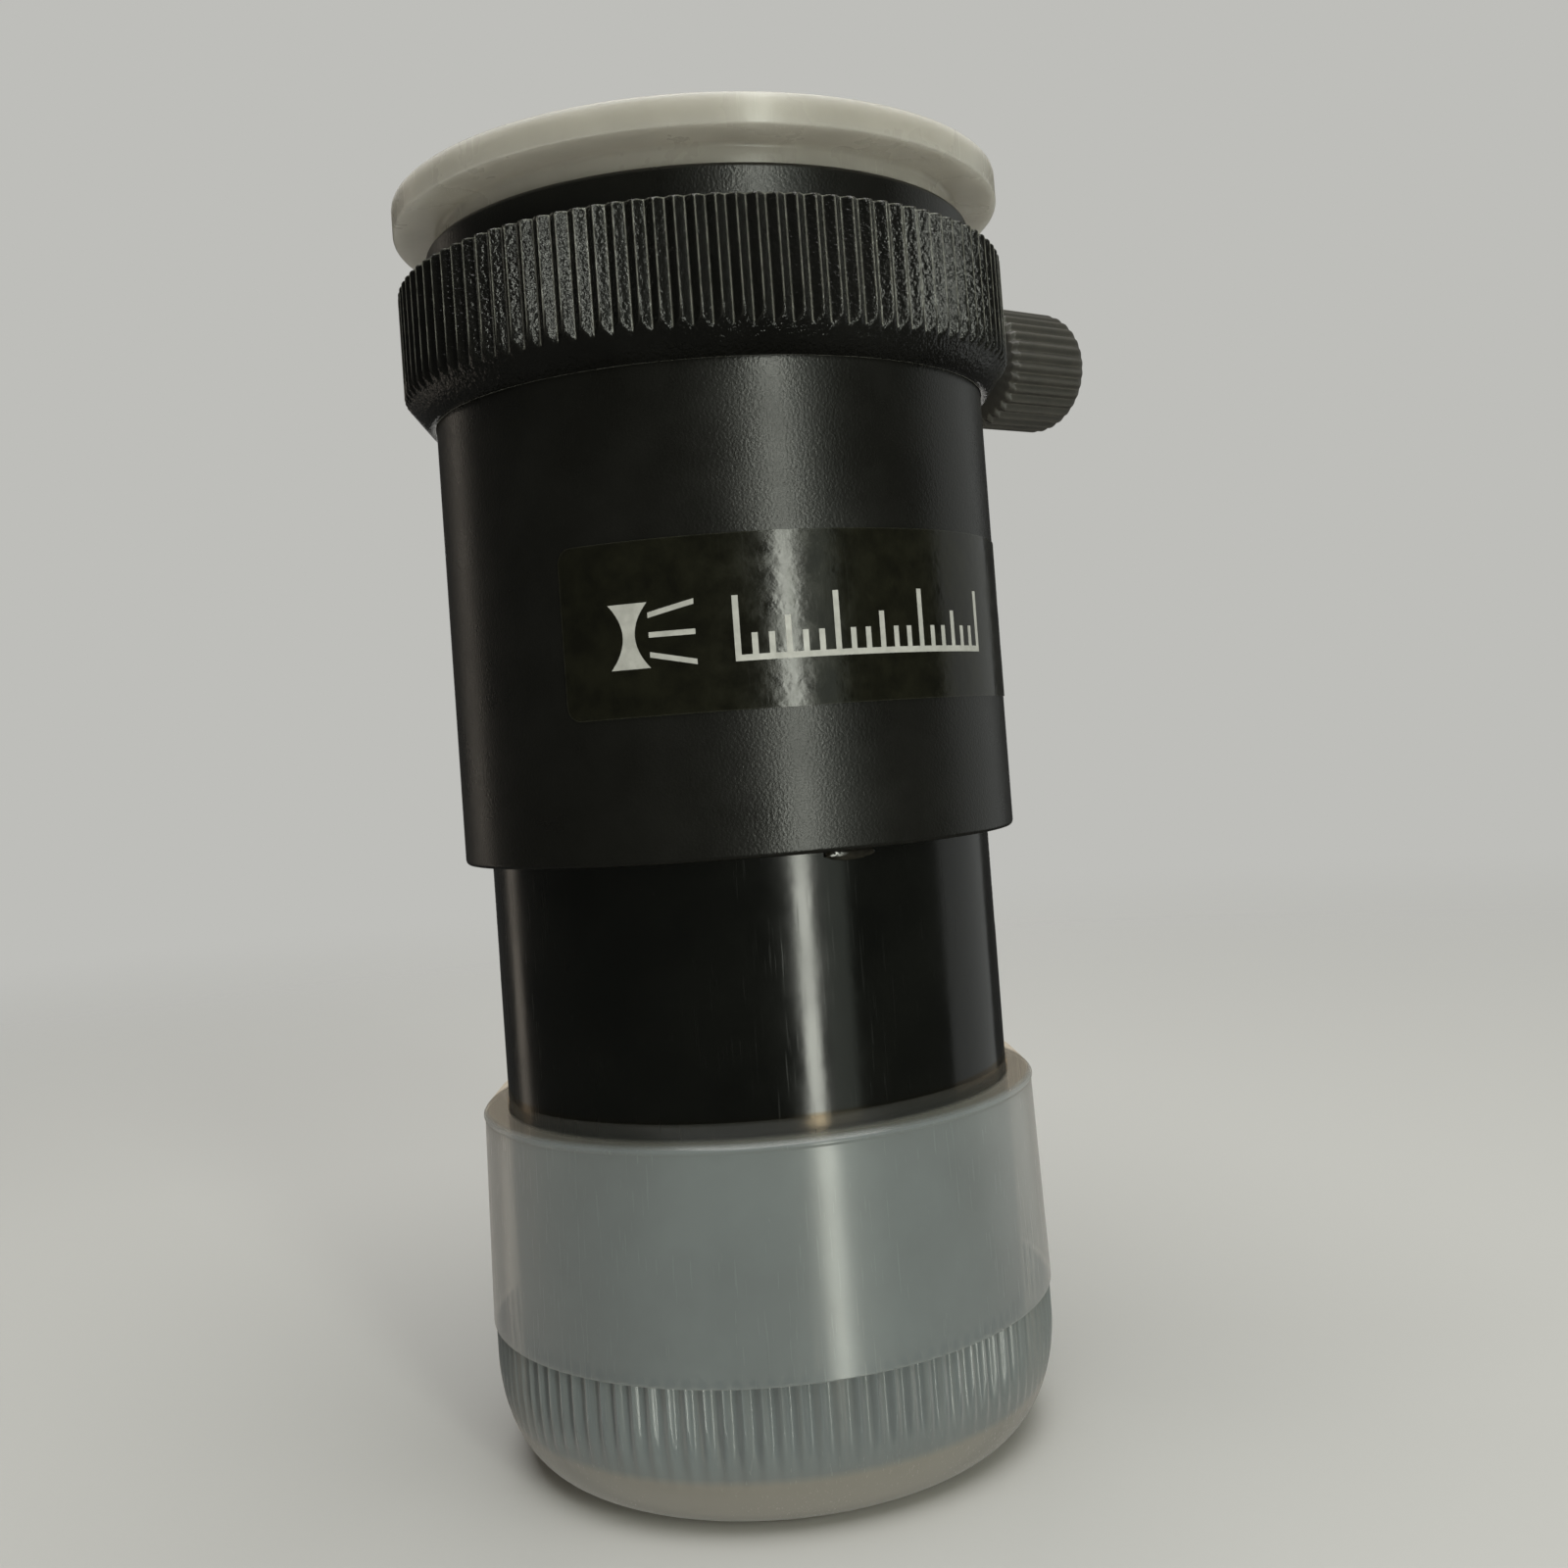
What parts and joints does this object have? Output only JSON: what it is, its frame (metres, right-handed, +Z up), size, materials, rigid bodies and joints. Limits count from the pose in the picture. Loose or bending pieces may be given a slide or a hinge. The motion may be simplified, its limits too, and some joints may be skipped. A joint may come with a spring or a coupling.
{
  "type": "barlow lens",
  "caption": "Short barlow lens for small telescopes: knurled eyepiece socket with thumbscrew, slim nosepiece holding a negative doublet, plug and end cap.",
  "frame": {"origin": "centre of the end cap's flat base, on the optical axis", "axes": "+Z up along the optical axis towards the eyepiece socket; +X to the right with the label in front; -Y towards the viewer of the label"},
  "size_m": [0.0473, 0.0404, 0.0782],
  "materials": {
    "satin_black_plastic": "satin moulded black",
    "textured_black_plastic": "spark-textured black",
    "gloss_black_plastic": "glossy moulded black",
    "label": "glossy black film",
    "milky_plug": "milky translucent polyethylene",
    "milky_cap": "milky translucent polyethylene",
    "knob_plastic": "matte dark grey",
    "steel": "rolled thread",
    "brass": "turned",
    "nylon": "moulded natural nylon",
    "cell_black": "black anodised, turned",
    "crown_glass": "polished, coated",
    "flint_glass": "polished, coated",
    "flat_black": "dead matt black"
  },
  "bodies": {
    "barlow": {"body_tube": "satin_black_plastic", "knurled_collar": "textured_black_plastic", "nosepiece_barrel": "gloss_black_plastic", "label_film": "label", "thread_insert": "brass", "lens_cell": "cell_black", "lens_retaining_ring": "cell_black", "crown_lens": "crown_glass", "flint_lens": "flint_glass", "lower_baffle": "flat_black", "upper_baffle": "flat_black"},
    "top_plug": {"top_plug_cap": "milky_plug"},
    "lower_cap": {"end_cap": "milky_cap"},
    "screw_tip": {"screw_pad": "nylon"},
    "thumbscrew": {"thumbscrew_shaft": "steel", "thumbscrew_knob": "knob_plastic"}
  },
  "joints": [
    {"name": "plug_pull", "type": "slide", "parent": "barlow", "child": "top_plug", "axis": [0, 0, 1], "range_m": [0, 0.02]},
    {"name": "cap_pull", "type": "slide", "parent": "barlow", "child": "lower_cap", "axis": [0, 0, -1], "range_m": [0, 0.03]},
    {"name": "screw_travel", "type": "slide", "parent": "barlow", "child": "screw_tip", "axis": [0.8241, 0.5664, 0], "range_m": [-0.0042, 0.00088]},
    {"name": "screw_turn", "type": "hinge", "parent": "screw_tip", "child": "thumbscrew", "pos_m": [0.02184, 0.01501, 0.0697], "axis": [0.8241, 0.5664, 0], "range_deg": [-2163, 453]}
  ],
  "couplings": [
    {"joint": "screw_turn", "follows": "screw_travel", "rad_per_m": 8976}
  ]
}
